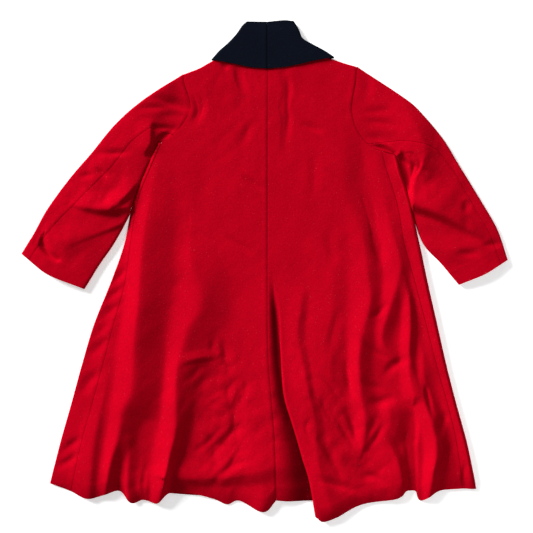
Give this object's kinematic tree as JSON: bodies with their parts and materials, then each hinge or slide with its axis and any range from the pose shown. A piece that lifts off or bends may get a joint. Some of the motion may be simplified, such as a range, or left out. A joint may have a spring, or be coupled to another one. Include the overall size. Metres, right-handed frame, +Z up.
{
  "type": "cavalry cloak",
  "caption": "Full-skirted scarlet wool cavalry cloak with sleeves, a deep navy turn-down collar and a pleated back, lying flat with its back upwards.",
  "frame": {"origin": "on the table under the middle of the cloak's box as it lies", "axes": "+Z up from the table, out of the cloak's back; +Y from the hem to the collar; +X to the wearer's right"},
  "size_m": [1.3599, 1.3986, 0.041],
  "materials": {
    "scarlet_melton": "matte felted wool with a short nap",
    "navy_melton": "matte felted wool with a short nap"
  },
  "bodies": {
    "root": {"back_left": "scarlet_melton", "back_right": "scarlet_melton", "front_left": "scarlet_melton", "front_right": "scarlet_melton", "front_left_wrap": "scarlet_melton", "front_right_wrap": "scarlet_melton", "sleeve_left_top": "scarlet_melton", "sleeve_left_under": "scarlet_melton", "sleeve_right_top": "scarlet_melton", "sleeve_right_under": "scarlet_melton", "collar_fall_left": "navy_melton", "collar_fall_right": "navy_melton", "collar_stand": "navy_melton"}
  },
  "joints": []
}
